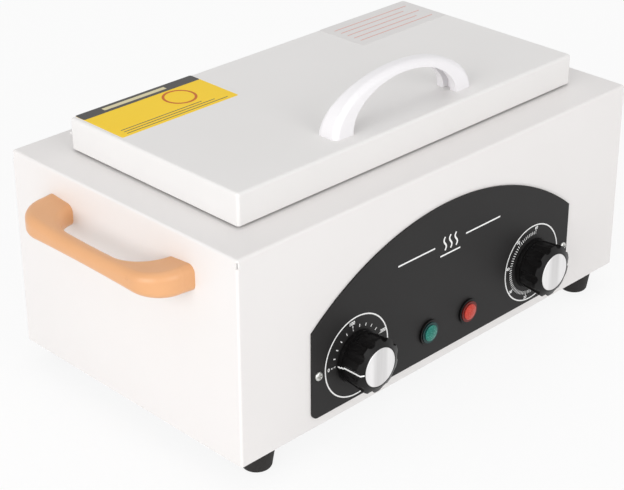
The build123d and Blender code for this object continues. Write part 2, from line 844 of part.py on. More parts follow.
# Heat shield: a sheet tray that carries the blanket and hangs from the casing top by its flange
def heat_shield():
    radius = chamber_corner_radius + insulation_thickness
    outer = slab(
        0, y_mid, shield_length, shield_width, radius + shield_sheet, z_shield_under, z_casing_under)
    inner = slab(
        0, y_mid, blanket_length + 2 * slip_gap, blanket_width + 2 * slip_gap, radius, z_shield_floor, z_top)
    flange = slab(
        0, y_mid, shield_length + 2 * shield_flange, shield_width + 2 * shield_flange, radius + shield_flange,
        z_casing_under - shield_sheet, z_casing_under)
    holes = element_holes(z_shield_under - 1, z_shield_floor + 1) + [probe_hole()]
    return cut_all(outer + flange - inner, holes)


# Temperature probe: a bulb between two runs of the element, with its capillary led to the thermostat
def probe_turn_x():
    return -element_run - element_pitch / 2


def probe_y():
    return y_mid - element_pitch


def probe_path():
    x_turn, x_case = probe_turn_x(), -knob_axis_x
    y_drop = y_front_inner + thermostat_depth / 2 - tab_length / 2
    z_case = z_knob + thermostat_width / 2
    points = [
        (-element_run + element_pitch, probe_y(), z_element), (x_turn, probe_y(), z_element),
        (x_turn, y_drop, z_element), (x_case, y_drop, z_element), (x_case, y_drop, z_case)]
    return FilletPolyline(*points, radius=capillary_bend_radius)


def probe_hole():
    return rod_y(
        probe_turn_x(), y_mid - shield_width / 2 - 1, y_mid - liner_width / 2 + insulation_thickness, z_element,
        capillary_radius + hole_clearance)


def thermostat_probe():
    path = probe_path()
    start = path @ 0
    tube = sweep(Plane(origin=start, z_dir=path % 0) * Circle(capillary_radius), path)
    bulb = rod_x(start.X - 1, start.X + probe_length, probe_y(), z_element, probe_radius)
    return bulb + tube


# Lid: an outer shell folded from sheet, a pan pressed up inside it, wool between and a seal below
def lid_shell():
    outer = slab(0, y_mid, lid_length, lid_depth, lid_edge_radius, z_lid_bottom, z_lid_top)
    outer = fillet(outer.edges().group_by(Axis.Z)[-1], lid_edge_radius * 0.9)
    inner_radius = max(lid_edge_radius - lid_sheet, 0.2)
    inner_length, inner_depth = lid_length - 2 * lid_sheet, lid_depth - 2 * lid_sheet
    inner = slab(0, y_mid, inner_length, inner_depth, inner_radius, z_lid_bottom - 1, z_lid_under)
    inner = fillet(inner.edges().group_by(Axis.Z)[-1], inner_radius * 0.8)
    shell = outer - inner
    tools = []
    for x in bow_screw_xs():
        tools.append(rod_z(x, y_bow, z_lid_under - 1, z_lid_top + 1, large_screw_radius + hole_clearance))
    for centre in hinge_centres().values():
        for x in hinge_lid_screw_xs(centre):
            hole = small_screw_radius + hole_clearance
            tools.append(rod_y(x, y_lid_rear - lid_sheet - 1, y_lid_rear + 1, hinge_lid_screw_z(), hole))
    return cut_all(shell, tools)


def lid_pan_size():
    play = 2 * (lid_sheet + slip_gap)
    return lid_length - play, lid_depth - play


def lid_inner_pan():
    length, width = lid_pan_size()
    radius = max(lid_edge_radius - lid_sheet, 0.5)
    wall = 2 * lid_pan_sheet
    pan = slab(0, y_mid, length, width, radius, z_pan, z_pan + lid_pan_rim)
    inner_radius = max(radius - lid_pan_sheet, 0.2)
    pan -= slab(0, y_mid, length - wall, width - wall, inner_radius, z_pan + lid_pan_sheet, z_lid_top)
    plug_length = chamber_length - 2 * lid_plug_margin
    plug_width = chamber_width - 2 * lid_plug_margin
    plug_radius = chamber_corner_radius - lid_plug_margin
    pan += slab(0, y_mid, plug_length, plug_width, plug_radius, z_plug, z_pan + lid_pan_sheet / 2)
    pan -= slab(
        0, y_mid, plug_length - wall, plug_width - wall, max(plug_radius - lid_pan_sheet, 0.5),
        z_plug + lid_pan_sheet, z_lid_top)
    return pan


def lid_insulation():
    length, width = lid_pan_size()
    play = 2 * (lid_pan_sheet + slip_gap)
    head_room = large_head_height + slip_gap
    return slab(
        0, y_mid, length - play, width - play, lid_edge_radius,
        z_pan + lid_pan_sheet, z_lid_under - head_room)


def lid_seal():
    reach = liner_rim - seal_inset
    length, width = liner_length + 2 * reach, liner_width + 2 * reach
    radius = chamber_corner_radius + liner_sheet + reach
    seal = slab(0, y_mid, length, width, radius, z_rim + seat_gap, z_pan)
    return seal - slab(
        0, y_mid, length - 2 * seal_width, width - 2 * seal_width, radius - seal_width, z_rim, z_pan + 1)


# Lid handle: a bow between two half ellipses, thick at its feet, hollowed from below to thin walls
def half_ellipse(half, height):
    face = Ellipse(half, height)
    return face & (Pos(0, height) * Rectangle(4 * half, 2 * height))


def lid_handle():
    half = bow_span / 2
    inner_half = half - bow_foot_length
    inner_height = bow_height - bow_crown
    profile = half_ellipse(half, bow_height) - half_ellipse(inner_half, inner_height)
    bow = extrude(Plane.XZ * profile, bow_foot_width / 2, both=True)
    taper = make_face(Polyline(
        (-bow_foot_width / 2, 0), (bow_foot_width / 2, 0), (bow_crown_width / 2, bow_height),
        (-bow_crown_width / 2, bow_height), close=True))
    bow = bow & extrude(Plane.YZ * taper, half + 1, both=True)
    crown = [e for e in bow.edges() if e.center().Z > inner_height * 0.6 and on_outer_bow(e)]
    bow = fillet(crown, bow_edge_radius)
    hollow = half_ellipse(half - bow_wall, bow_height - bow_wall)
    bow -= extrude(Plane.XZ * hollow, bow_crown_width / 2 - bow_wall, both=True)
    for x in bow_screw_xs():
        post = rod_z(x, 0, 0, bow_height, bow_boss_radius)
        bow += post & extrude(Plane.XZ * profile, bow_boss_radius + 1, both=True)
    for x in bow_screw_xs():
        bow -= rod_z(x, 0, -1, bow_screw_depth(), large_screw_radius + running_clearance)
    return Pos(0, y_bow, z_lid_top) * bow


# True for an edge whose middle lies on the outer ellipse of the bow
def on_outer_bow(edge):
    point = edge @ 0.5
    share = (point.X / (bow_span / 2)) ** 2 + (point.Z / bow_height) ** 2
    return share > 0.98


def bow_screw_depth():
    return bow_height * bow_screw_share


def lid_handle_screws():
    length = lid_sheet + bow_screw_depth() - seat_gap
    return [Pos(x, y_bow, z_lid_under) * Rot(180, 0, 0) * large_screw(length) for x in bow_screw_xs()]


# Hinge: two leaves with interleaved knuckles curled round one pin
def knuckle_spans(centre, first):
    pitch = hinge_length / hinge_knuckles
    spans = []
    for i in range(first, hinge_knuckles, 2):
        x0 = centre - hinge_length / 2 + i * pitch
        spans.append((x0 + seat_gap / 2, x0 + pitch - seat_gap / 2))
    return spans


def hinge_base_leaf(centre):
    y, z = hinge_axis()
    leaf = block(
        centre - hinge_length / 2, centre + hinge_length / 2, y + hinge_knuckle_radius + seat_gap,
        y + hinge_base_reach, z_top, z_top + hinge_leaf)
    for x0, x1 in knuckle_spans(centre, 0):
        leaf += rod_x(x0, x1, y, z, hinge_knuckle_radius)
        leaf += block(x0, x1, y, y + hinge_knuckle_radius + 1, z_top, z_top + hinge_leaf)
    leaf -= rod_x(
        centre - hinge_length, centre + hinge_length, y, z, hinge_pin_radius + running_clearance)
    for x in hinge_base_screw_xs(centre):
        hole = small_screw_radius + hole_clearance
        leaf -= rod_z(x, hinge_base_screw_y(), z_top - 1, z_top + hinge_leaf + 1, hole)
    return leaf


def hinge_lid_leaf(centre):
    y, z = hinge_axis()
    leaf = block(
        centre - hinge_length / 2, centre + hinge_length / 2, y_lid_rear, y_lid_rear + hinge_leaf,
        z + hinge_knuckle_radius + seat_gap, z_lid_bottom + hinge_lid_reach)
    for x0, x1 in knuckle_spans(centre, 1):
        leaf += rod_x(x0, x1, y, z, hinge_knuckle_radius)
        leaf += block(x0, x1, y_lid_rear, y_lid_rear + hinge_leaf, z, z + hinge_knuckle_radius + 1)
    leaf -= rod_x(
        centre - hinge_length, centre + hinge_length, y, z, hinge_pin_radius + running_clearance)
    for x in hinge_lid_screw_xs(centre):
        hole = small_screw_radius + hole_clearance
        leaf -= rod_y(x, y_lid_rear - 1, y_lid_rear + hinge_leaf + 1, hinge_lid_screw_z(), hole)
    return leaf


def hinge_pin(centre):
    y, z = hinge_axis()
    return rod_x(centre - hinge_length / 2, centre + hinge_length / 2, y, z, hinge_pin_radius)


def hinge_base_screws():
    length = hinge_leaf + casing_sheet + screw_end
    screws = []
    for centre in hinge_centres().values():
        for x in hinge_base_screw_xs(centre):
            screws.append(Pos(x, hinge_base_screw_y(), z_top + hinge_leaf) * small_screw(length))
    return screws


def hinge_lid_screws():
    y = y_lid_rear + hinge_leaf
    length = hinge_leaf + lid_sheet
    screws = []
    for centre in hinge_centres().values():
        for x in hinge_lid_screw_xs(centre):
            screws.append(Pos(x, y, hinge_lid_screw_z()) * Rot(-90, 0, 0) * small_screw(length))
    return screws


# Mains entry: a gland through the rear wall, with its nut inside
def cable_gland():
    dome = turned([
        (0, 0), (gland_barrel_radius + gland_collar, 0),
        (gland_barrel_radius + gland_collar, gland_reach * gland_dome_share),
        (gland_barrel_radius - gland_mouth_step, gland_reach), (0, gland_reach)])
    body = hexagon(gland_flats, gland_reach * gland_hex_share) + dome
    inside = casing_sheet + gland_nut_height + screw_end
    body += rod_z(0, 0, -inside, 0.1, gland_barrel_radius)
    body -= rod_z(0, 0, -inside - 1, gland_reach + 1, gland_bore_radius)
    return Pos(gland_x, y_rear, z_gland) * Rot(-90, 0, 0) * body


def gland_nut():
    nut = hexagon(gland_nut_flats, gland_nut_height)
    nut -= rod_z(0, 0, -1, gland_nut_height + 1, gland_barrel_radius + running_clearance)
    return Pos(gland_x, y_rear_inner, z_gland) * Rot(90, 0, 0) * nut


# Terminal block on the base plate, with a row of wire pockets on both long sides
def terminal_block():
    x = terminal_x
    half = terminal_ways * terminal_pitch / 2
    piece = block(
        x - half, x + half, terminal_y - terminal_depth / 2, terminal_y + terminal_depth / 2, terminal_z,
        terminal_z + terminal_height)
    for i in range(1, terminal_ways):
        cut_x = x - half + i * terminal_pitch
        piece -= block(
            cut_x - terminal_slit / 2, cut_x + terminal_slit / 2, terminal_y - terminal_depth,
            terminal_y + terminal_depth, terminal_z + terminal_height * terminal_slit_share,
            terminal_z + terminal_height + 1)
    for i in range(terminal_ways):
        way_x = x - half + (i + 0.5) * terminal_pitch
        piece -= rod_y(
            way_x, terminal_y - terminal_depth, terminal_y + terminal_depth,
            terminal_z + terminal_height * terminal_hole_share, terminal_hole_radius)
    ear = 2 * large_head_radius
    for side in (-1, 1):
        lug = block(-ear, ear, -large_head_radius, large_head_radius, 0, terminal_ear_height)
        piece += Pos(x + side * (half + ear / 2), terminal_y, terminal_z) * lug
    for screw_x in terminal_screw_xs():
        piece -= rod_z(
            screw_x, terminal_y, terminal_z - 1, terminal_z + terminal_height, small_screw_radius
            + hole_clearance)
    return piece


def terminal_screws():
    z = terminal_z + terminal_ear_height
    length = terminal_ear_height + base_sheet + screw_end
    return [Pos(x, terminal_y, z) * small_screw(length) for x in terminal_screw_xs()]


# Thermal cut-out: a disc can under the shield floor, on its own mounting strap
def thermal_cutout():
    can = rod_z(0, y_mid, z_shield_under - cutout_height, z_shield_under - slip_gap, cutout_radius)
    strap = block(
        -cutout_radius * cutout_strap_share, cutout_radius * cutout_strap_share, y_mid - tab_width / 2,
        y_mid + tab_width / 2, z_shield_under - cutout_strap, z_shield_under)
    can += strap
    for side in (-1, 1):
        can += block(
            side * cutout_radius / 2 - tab_sheet / 2, side * cutout_radius / 2 + tab_sheet / 2,
            y_mid - tab_width / 2, y_mid + tab_width / 2, z_shield_under - cutout_height - tab_length,
            z_shield_under - cutout_height + 1)
    return can


# All pieces by name
def pieces():
    made = {
        "outer_casing": outer_casing(),
        "base_plate": base_plate(),
        "base_screws": base_screws(),
        "foot_screws": foot_screws(),
        "foot_nuts": foot_nuts(),
        "control_panel": control_panel(),
        "panel_screws": panel_screws(),
        "thermostat_body": thermostat_body(),
        "thermostat_probe": thermostat_probe(),
        "thermostat_nut": control_nut(-knob_axis_x),
        "thermostat_spindle": spindle_at(-knob_axis_x),
        "thermostat_knob": knob_at(-knob_axis_x),
        "thermostat_knob_cap": cap_at(-knob_axis_x),
        "timer_body": timer_body(),
        "timer_nut": control_nut(knob_axis_x),
        "timer_spindle": spindle_at(knob_axis_x),
        "timer_knob": knob_at(knob_axis_x),
        "timer_knob_cap": cap_at(knob_axis_x),
        "green_lamp_holder": lamp_holder(-lamp_axis_x),
        "green_lamp_lens": lamp_lens(-lamp_axis_x),
        "red_lamp_holder": lamp_holder(lamp_axis_x),
        "red_lamp_lens": lamp_lens(lamp_axis_x),
        "lamp_nuts": lamp_nuts(),
        "left_handle": side_handle(-1),
        "right_handle": side_handle(1),
        "handle_screws": handle_screws(),
        "chamber_liner": chamber_liner(),
        "instrument_tray": instrument_tray(),
        "heating_element": heating_element(),
        "element_clamps": element_clamps(),
        "chamber_insulation": chamber_insulation(),
        "heat_shield": heat_shield(),
        "thermal_cutout": thermal_cutout(),
        "terminal_block": terminal_block(),
        "terminal_screws": terminal_screws(),
        "cable_gland": cable_gland(),
        "gland_nut": gland_nut(),
        "lid_shell": lid_shell(),
        "lid_inner_pan": lid_inner_pan(),
        "lid_insulation": lid_insulation(),
        "lid_seal": lid_seal(),
        "lid_handle": lid_handle(),
        "lid_handle_screws": lid_handle_screws(),
        "hinge_base_screws": hinge_base_screws(),
        "hinge_lid_screws": hinge_lid_screws(),
    }
    for y, end in zip(foot_ys, ("front", "rear")):
        for side, name in ((-1, "left"), (1, "right")):
            made[f"foot_{end}_{name}"] = rubber_foot(side * foot_x, y)
    for name, centre in hinge_centres().items():
        made[f"{name}_hinge_base_leaf"] = hinge_base_leaf(centre)
        made[f"{name}_hinge_lid_leaf"] = hinge_lid_leaf(centre)
        made[f"{name}_hinge_pin"] = hinge_pin(centre)
    return made


os.makedirs("parts", exist_ok=True)
for name, piece in pieces().items():
    solid = Compound(children=piece) if isinstance(piece, list) else piece
    export_step(solid, f"parts/{name}.step")
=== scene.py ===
# %% [markdown]
# # A dry heat sterilizer in a white studio
# The solids of the machine come from a CAD model that is already packed. This lesson loads them as a
# fixed frame and never moves them. It then gives each one the finish of the real piece, adds what is
# only printed or stuck on, and sets up the studio and the camera.

# %% Load the solids
import math

import bpy
import numpy as np
from mathutils import Matrix, Vector


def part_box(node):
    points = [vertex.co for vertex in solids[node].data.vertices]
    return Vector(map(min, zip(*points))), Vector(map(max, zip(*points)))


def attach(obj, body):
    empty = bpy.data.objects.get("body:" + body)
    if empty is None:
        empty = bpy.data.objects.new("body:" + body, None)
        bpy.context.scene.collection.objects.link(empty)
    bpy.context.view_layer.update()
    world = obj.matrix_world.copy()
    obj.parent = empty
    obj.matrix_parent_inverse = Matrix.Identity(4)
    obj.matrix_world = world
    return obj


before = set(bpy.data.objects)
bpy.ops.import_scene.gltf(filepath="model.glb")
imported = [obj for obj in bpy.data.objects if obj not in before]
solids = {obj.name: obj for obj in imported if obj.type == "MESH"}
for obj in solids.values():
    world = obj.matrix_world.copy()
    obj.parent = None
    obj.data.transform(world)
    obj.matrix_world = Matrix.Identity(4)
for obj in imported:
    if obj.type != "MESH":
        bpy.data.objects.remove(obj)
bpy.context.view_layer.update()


def rounded(values):
    """Each value with four decimals, for printing."""
    return tuple(round(value, 4) for value in values)


# %% [markdown]
# ## Measures taken from the solids
# Prints and stickers could be placed by typed numbers, but they would stay behind if the machine
# changed. So the places come from the boxes of the solids: the panel's face carries the dial prints,
# a knob's cap gives the dial centres, a lens gives the lamps, and the lid's top carries the stickers.

# %% Measures in metres
mm = 0.001


def centre_of(name):
    """The middle of a solid's box: half the sum of its lowest and highest corners."""
    low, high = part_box(name)
    return [(a + b) / 2 for a, b in zip(low, high)]


panel_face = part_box("control_panel")[0].y
front_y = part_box("outer_casing")[0].y
casing_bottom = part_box("outer_casing")[0].z
lid_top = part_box("lid_shell")[1].z
left_dial_x, _, dial_z = centre_of("thermostat_knob_cap")
right_dial_x = -left_dial_x
green_lamp_x, _, lamp_z = centre_of("green_lamp_lens")
red_lamp_x = -green_lamp_x
print("dials at x and z", rounded((left_dial_x, dial_z)), "and", rounded((right_dial_x, dial_z)))
print("lamps at x and z", rounded((green_lamp_x, lamp_z)), "and", rounded((red_lamp_x, lamp_z)))

# %% [markdown]
# ## Shader maths as Python
# A finish is a tree of nodes. Written by hand, each sum of two masks takes five lines, so a small
# class wraps a socket: adding or multiplying two of them adds the Math node. One method makes any
# other node from its type, its settings and its sockets, for a finish and for the studio alike.

# %% Signals
class Signal:
    """A value that varies over a surface. An operator adds one Math node and returns its result."""

    def __init__(self, graph, socket):
        self.graph = graph
        self.socket = socket

    def also(self, output):
        """Another output of the node that this signal comes from."""
        return Signal(self.graph, self.socket.node.outputs[output])

    def __add__(self, other):
        return self.graph.math("ADD", self, other)

    def __radd__(self, other):
        return self.graph.math("ADD", other, self)

    def __sub__(self, other):
        return self.graph.math("SUBTRACT", self, other)

    def __rsub__(self, other):
        return self.graph.math("SUBTRACT", other, self)

    def __mul__(self, other):
        return self.graph.math("MULTIPLY", self, other)

    def __rmul__(self, other):
        return self.graph.math("MULTIPLY", other, self)

    def __truediv__(self, other):
        return self.graph.math("DIVIDE", self, other)

    def __rtruediv__(self, other):
        return self.graph.math("DIVIDE", other, self)

# %% Graphs
class Graph:
    """A tree of nodes, with the one method that adds any node to it."""

    def __init__(self, tree):
        self.tree = tree

    def link(self, signal, socket):
        self.tree.links.new(signal.socket, socket)

    def node(self, kind, settings=None, sockets=None, out=0):
        """A new node: its settings come first, then the values or links of its sockets."""
        made = self.tree.nodes.new(kind)
        for key, value in (settings or {}).items():
            if key == "stops":
                self.set_stops(made.color_ramp, value)
            else:
                setattr(made, key, value)
        for key, value in (sockets or {}).items():
            if isinstance(value, Signal):
                self.link(value, made.inputs[key])
            else:
                made.inputs[key].default_value = value
        return Signal(self, made.outputs[out])

    def set_stops(self, ramp, stops):
        """The colours of a ramp, from a list of (position, colour)."""
        while len(ramp.elements) < len(stops):
            ramp.elements.new(1.0)
        for element, (position, color) in zip(ramp.elements, stops):
            element.position = position
            element.color = (*color, 1.0)

    def math(self, operation, *values):
        """A Math node on signals and plain numbers."""
        return self.node("ShaderNodeMath", {"operation": operation}, dict(enumerate(values)))

# %% Finishes
class Finish(Graph):
    """A material with one Principled shader. Plain values go straight to its sockets."""

    def __init__(self, name, **plain):
        self.material = bpy.data.materials.new(name)
        self.material.use_nodes = True
        super().__init__(self.material.node_tree)
        self.shader = self.tree.nodes["Principled BSDF"]
        self.place = self.node("ShaderNodeTexCoord", out="Object")
        for key, value in plain.items():
            self.shader_socket(key).default_value = value

    def shader_socket(self, key):
        """The key Base_Color stands for the socket Base Color."""
        return self.shader.inputs[key.replace("_", " ")]

    def feed(self, **signals):
        """Links each signal to the shader's socket of that name."""
        for key, signal in signals.items():
            self.link(signal, self.shader_socket(key))

    def noise(self, scale, detail=2.0, stretch=(1, 1, 1), roughness=0.5):
        """Noise from 0 to 1 with about `scale` lumps per metre, drawn out along axes of low stretch."""
        place = self.node(
            "ShaderNodeMapping", {"vector_type": "POINT"}, {"Vector": self.place, "Scale": stretch})
        return self.node("ShaderNodeTexNoise", None, {
            "Vector": place, "Scale": scale, "Detail": detail, "Roughness": roughness})

    def cells(self, scale, out):
        """Straight-edged cells, about `scale` per metre: a random Color each, or the Distance from
        the cell's point."""
        sockets = {"Vector": self.place, "Scale": scale}
        return self.node("ShaderNodeTexVoronoi", {"feature": "F1"}, sockets, out=out)

    def axis(self, name):
        """The place along X, Y or Z in metres."""
        return self.node("ShaderNodeSeparateXYZ", None, {"Vector": self.place}, out=name)

    def remap(self, value, start, end, low=0.0, high=1.0, way="LINEAR"):
        """low where the value is at start, high where it is at end, held beyond both."""
        return self.node("ShaderNodeMapRange", {"interpolation_type": way}, {
            "Value": value, "From Min": start, "From Max": end, "To Min": low, "To Max": high})

    def blend(self, mask, first, second):
        """A colour that goes from first, where the mask is 0, to second, where it is 1."""
        ends = [color if isinstance(color, Signal) else (*color, 1.0) for color in (first, second)]
        sockets = {0: mask, 6: ends[0], 7: ends[1]}
        return self.node("ShaderNodeMix", {"data_type": "RGBA"}, sockets, out=2)

    def bump(self, height, distance, strength=1.0):
        """The normal tilted by a height map, whose full range stands `distance` metres high."""
        return self.node("ShaderNodeBump", None, {
            "Height": height, "Distance": distance, "Strength": strength}, out="Normal")

# %% Colours as a screen shows them
def linear(red, green, blue):
    """Screen values from 0 to 255 as the linear colour that a shader takes."""
    share = np.array([red, green, blue]) / 255
    curve = np.where(share <= 0.04045, share / 12.92, ((share + 0.055) / 1.055) ** 2.4)
    return tuple(float(v) for v in curve)


print("screen white 236, 233, 232 is", rounded(linear(236, 233, 232)), "in a shader")

# %% [markdown]
# ## Painted sheet steel
# The casing and the lid are powder coated. Up close such paint is never flat: it has the fine
# rolling surface that is called orange peel, a slightly uneven gloss, and a faint greying where
# hands and dust reach it. A painted image could show all that, but it would need an unwrapped mesh
# and blur up close. Three noises of very different scale give it at any distance.

# %% Powder coat
def powder_coat(name, color, dust, gloss=0.36, shine=0.45):
    """The peel and a little speck stand as height. Cloud and speck grey the colour towards dust."""
    coat = Finish(name, Specular_IOR_Level=shine)
    peel = coat.noise(scale=520.0)
    speck = coat.noise(scale=2300.0, detail=1.0)
    cloud = coat.noise(scale=9.0, detail=3.0)
    coat.feed(
        Base_Color=coat.blend(cloud * 0.55 + speck * 0.12, color, dust),
        Roughness=gloss + (cloud - 0.5) * 0.10 + (speck - 0.5) * 0.06,
        Normal=coat.bump(peel + speck * 0.25, distance=0.00003, strength=0.8))
    return coat.material


casing_paint = powder_coat("white_powder_coat", linear(236, 233, 232), linear(226, 223, 221))
lid_paint = powder_coat("lid_powder_coat", linear(235, 233, 232), linear(225, 223, 221))
panel_paint = powder_coat(
    "dark_panel_coat", linear(40, 39, 39), linear(34, 33, 33), gloss=0.5, shine=0.18)
hinge_paint = powder_coat("hinge_coat", linear(240, 239, 238), linear(228, 226, 225), gloss=0.3)
print("paints made:", casing_paint.name, lid_paint.name, panel_paint.name, hinge_paint.name)

# %% [markdown]
# ## Moulded plastic and rubber
# A moulded piece copies the spark-eroded skin of its mould, a very fine even grain. Its colour drifts
# a little where the melt flowed. One flat colour would look like a toy, so a fine noise gives the
# grain and a broad one the flow. Handles get a softer skin than knobs, and rubber is duller still,
# with a trace of dust in its grain.

# %% Plastics and rubber
def moulded(name, color, shade, gloss, grain=1600.0, **plain):
    """The fine grain stands as height. The broad flow drives the colour towards its shade."""
    plastic = Finish(name, **plain)
    skin_grain = plastic.noise(scale=grain)
    flow = plastic.noise(scale=26.0, detail=3.0, stretch=(0.5, 1.0, 1.6))
    plastic.feed(
        Base_Color=plastic.blend(flow * 0.8 + skin_grain * 0.15, color, shade),
        Roughness=gloss + (skin_grain - 0.5) * 0.12 + (flow - 0.5) * 0.08,
        Normal=plastic.bump(skin_grain, distance=0.00002, strength=0.8))
    return plastic.material


def rubber(name, color, dust):
    """Dust lies where grain and bloom are both high: their product is the mask."""
    soft = Finish(name, Specular_IOR_Level=0.3)
    grain = soft.noise(scale=1100.0, detail=3.0)
    bloom = soft.noise(scale=60.0, detail=4.0)
    soft.feed(
        Base_Color=soft.blend(grain * bloom * 1.4, color, dust),
        Roughness=0.62 + bloom * 0.22,
        Normal=soft.bump(grain, distance=0.00006, strength=0.9))
    return soft.material


knob_plastic = moulded(
    "knob_black", linear(17, 16, 16), linear(12, 11, 11), gloss=0.34, Specular_IOR_Level=0.22)
fitting_plastic = moulded("fitting_black", linear(36, 35, 35), linear(26, 25, 25), gloss=0.42)
handle_tan = moulded(
    "handle_tan", linear(228, 172, 124), linear(214, 156, 106), gloss=0.34, grain=900.0,
    Specular_IOR_Level=0.5)
handle_white = moulded(
    "handle_white", linear(243, 241, 243), linear(234, 232, 234), gloss=0.36, grain=1200.0,
    Specular_IOR_Level=0.45)
foot_rubber = rubber("foot_rubber", linear(32, 30, 30), linear(52, 50, 48))
seal_rubber = rubber("seal_silicone", linear(150, 62, 48), linear(170, 88, 72))
print("plastics made:", knob_plastic.name, fitting_plastic.name, handle_tan.name, handle_white.name)
print("rubbers made:", foot_rubber.name, seal_rubber.name)

# %% [markdown]
# ## Bare metal
# Brushed metal is a bundle of fine scratches that all run one way. Noise that is drawn out up to
# seventy times along the brushing direction gives the scratches without modelling one, and it feeds
# both the roughness and a very small bump. Plated and drawn pieces use the same recipe with other
# directions and depths. A stretch below 1 is the axis along which the scratches run.

# %% Brushed metals
def brushed(name, color, shade, gloss, stretch, scale=2600.0):
    """Scratches set the roughness and the height, and scratches and smears the tone."""
    metal = Finish(name, Metallic=1.0)
    scratch = metal.noise(scale=scale, detail=3.0, stretch=stretch, roughness=0.65)
    smear = metal.noise(scale=28.0)
    metal.feed(
        Base_Color=metal.blend(scratch * 0.7 + smear * 0.3, color, shade),
        Roughness=gloss + (scratch - 0.5) * 0.22 + (smear - 0.5) * 0.10,
        Normal=metal.bump(scratch, distance=0.000012, strength=0.9))
    return metal.material


def streaked_with_painted_band(name, x, cap_radius=12.3 * mm, narrowness=3.2):
    """Aluminium brushed upright: each streak keeps its tone along z. The middle band is a painted
    reflection, darkest on the axis: 1 there and 0 where narrowness * (distance / cap_radius) squared
    reaches 1."""
    metal = Finish(name, Metallic=1.0)
    streak = metal.noise(scale=1400.0, detail=3.0, stretch=(1.0, 0.03, 0.03), roughness=0.7)
    band = metal.noise(scale=190.0, detail=1.0, stretch=(1.0, 0.05, 0.05))
    across = (metal.axis("X") - x) / cap_radius
    # The dark band down the middle of each cap is a painted reflection, set by the distance from the
    # cap's axis.
    middle = metal.remap(across * across * narrowness, 0.0, 1.0, low=1.0, high=0.0, way="SMOOTHSTEP")
    streaks_and_painted_band = middle * 0.34 + band * 0.4 + streak * 0.3 - 0.22
    metal.feed(
        Base_Color=metal.blend(streaks_and_painted_band, (0.94, 0.93, 0.93), (0.44, 0.43, 0.43)),
        Roughness=0.26 + streak * 0.16,
        Normal=metal.bump(streak, distance=0.00002, strength=0.9))
    return metal.material


left_cap_metal = streaked_with_painted_band("left_cap_aluminium", left_dial_x)
right_cap_metal = streaked_with_painted_band("right_cap_aluminium", right_dial_x)
stainless = brushed(
    "stainless_brushed", (0.66, 0.65, 0.64), (0.52, 0.51, 0.50), gloss=0.28, stretch=(0.015, 1.0, 1.0))
screw_zinc = brushed(
    "screw_zinc", (0.72, 0.72, 0.70), (0.60, 0.60, 0.58), gloss=0.32, stretch=(1.0, 1.0, 0.2),
    scale=1500.0)
pin_steel = brushed(
    "pin_steel", (0.62, 0.62, 0.62), (0.48, 0.48, 0.48), gloss=0.22, stretch=(0.02, 1.0, 1.0))
copper = brushed(
    "capillary_copper", (0.80, 0.42, 0.28), (0.62, 0.30, 0.20), gloss=0.30, stretch=(0.1, 1.0, 1.0))
print("caps made:", left_cap_metal.name, right_cap_metal.name)
print("metals made:", stainless.name, screw_zinc.name, pin_steel.name, copper.name)

# %% [markdown]
# Hot-dip zinc freezes in flat crystals with straight edges. Cells that each have one random tone
# stand for them, and the same tone sets the roughness, because a crystal is bright or dull as a whole.

# %% Spangled zinc
def spangled(name, color, shade):
    """Each cell's own tone drives colour and roughness alike."""
    zinc = Finish(name, Metallic=1.0)
    cell = zinc.cells(scale=130.0, out="Color")
    tone = zinc.node("ShaderNodeSeparateColor", None, {"Color": cell}, out="Red")
    zinc.feed(
        Base_Color=zinc.blend(tone, color, shade),
        Roughness=0.38 + tone * 0.18,
        Normal=zinc.bump(zinc.noise(scale=900.0), distance=0.00001, strength=0.7))
    return zinc.material


shield_zinc = spangled("shield_zinc", (0.66, 0.68, 0.70), (0.48, 0.50, 0.52))
base_zinc = spangled("base_zinc", (0.62, 0.63, 0.64), (0.50, 0.51, 0.52))
print("zinc sheets made:", shield_zinc.name, base_zinc.name)

# %% [markdown]
# ## What sits out of sight
# The heating element's sheath is oxidised to a mottled brown grey, mineral wool is a mat of fibres,
# and the terminal block is glazed porcelain. They show only when the lid or the base is off, so each
# has a short recipe: a ramp of heat tints, two crossed noises for the fibres, and a clear coat.

# %% Sheath, wool and porcelain
def heat_tinted(name):
    """A ramp over a broad noise gives the tints, and a fine noise the scale on the metal."""
    sheath = Finish(name, Metallic=0.7)
    tint = sheath.noise(scale=70.0, detail=4.0)
    crust = sheath.noise(scale=900.0, detail=3.0)
    tints = [(0.25, linear(96, 78, 64)), (0.55, linear(120, 106, 92)), (0.8, linear(78, 80, 92))]
    tone = sheath.node("ShaderNodeValToRGB", {"stops": tints}, {"Fac": tint}, out="Color")
    sheath.feed(
        Base_Color=tone,
        Roughness=0.48 + crust * 0.2,
        Normal=sheath.bump(crust, distance=0.00004, strength=0.8))
    return sheath.material


def mineral_wool(name):
    """The mat is the mean of fibres along x and fibres along y."""
    wool = Finish(name, Specular_IOR_Level=0.1)
    along = wool.noise(scale=420.0, detail=4.0, stretch=(0.12, 1.0, 1.0), roughness=0.7)
    across = wool.noise(scale=420.0, detail=4.0, stretch=(1.0, 0.12, 1.0), roughness=0.7)
    mat = (along + across) * 0.5
    wool.feed(
        Base_Color=wool.blend(mat, linear(212, 200, 160), linear(150, 136, 96)),
        Roughness=0.9 + mat * 0.1,
        Normal=wool.bump(mat, distance=0.0012))
    return wool.material


def porcelain(name):
    """A clear coat over a body whose tone follows where the glaze pooled."""
    glaze = Finish(name, Coat_Weight=0.6, Coat_Roughness=0.08)
    pool = glaze.noise(scale=220.0, detail=3.0)
    glaze.feed(
        Base_Color=glaze.blend(pool, linear(238, 234, 222), linear(222, 214, 196)),
        Roughness=0.22 + pool * 0.14,
        Normal=glaze.bump(pool, distance=0.00005, strength=0.6))
    return glaze.material


element_sheath = heat_tinted("element_sheath")
blanket_wool = mineral_wool("mineral_wool")
block_porcelain = porcelain("block_porcelain")
print("inner finishes made:", element_sheath.name, blanket_wool.name, block_porcelain.name)

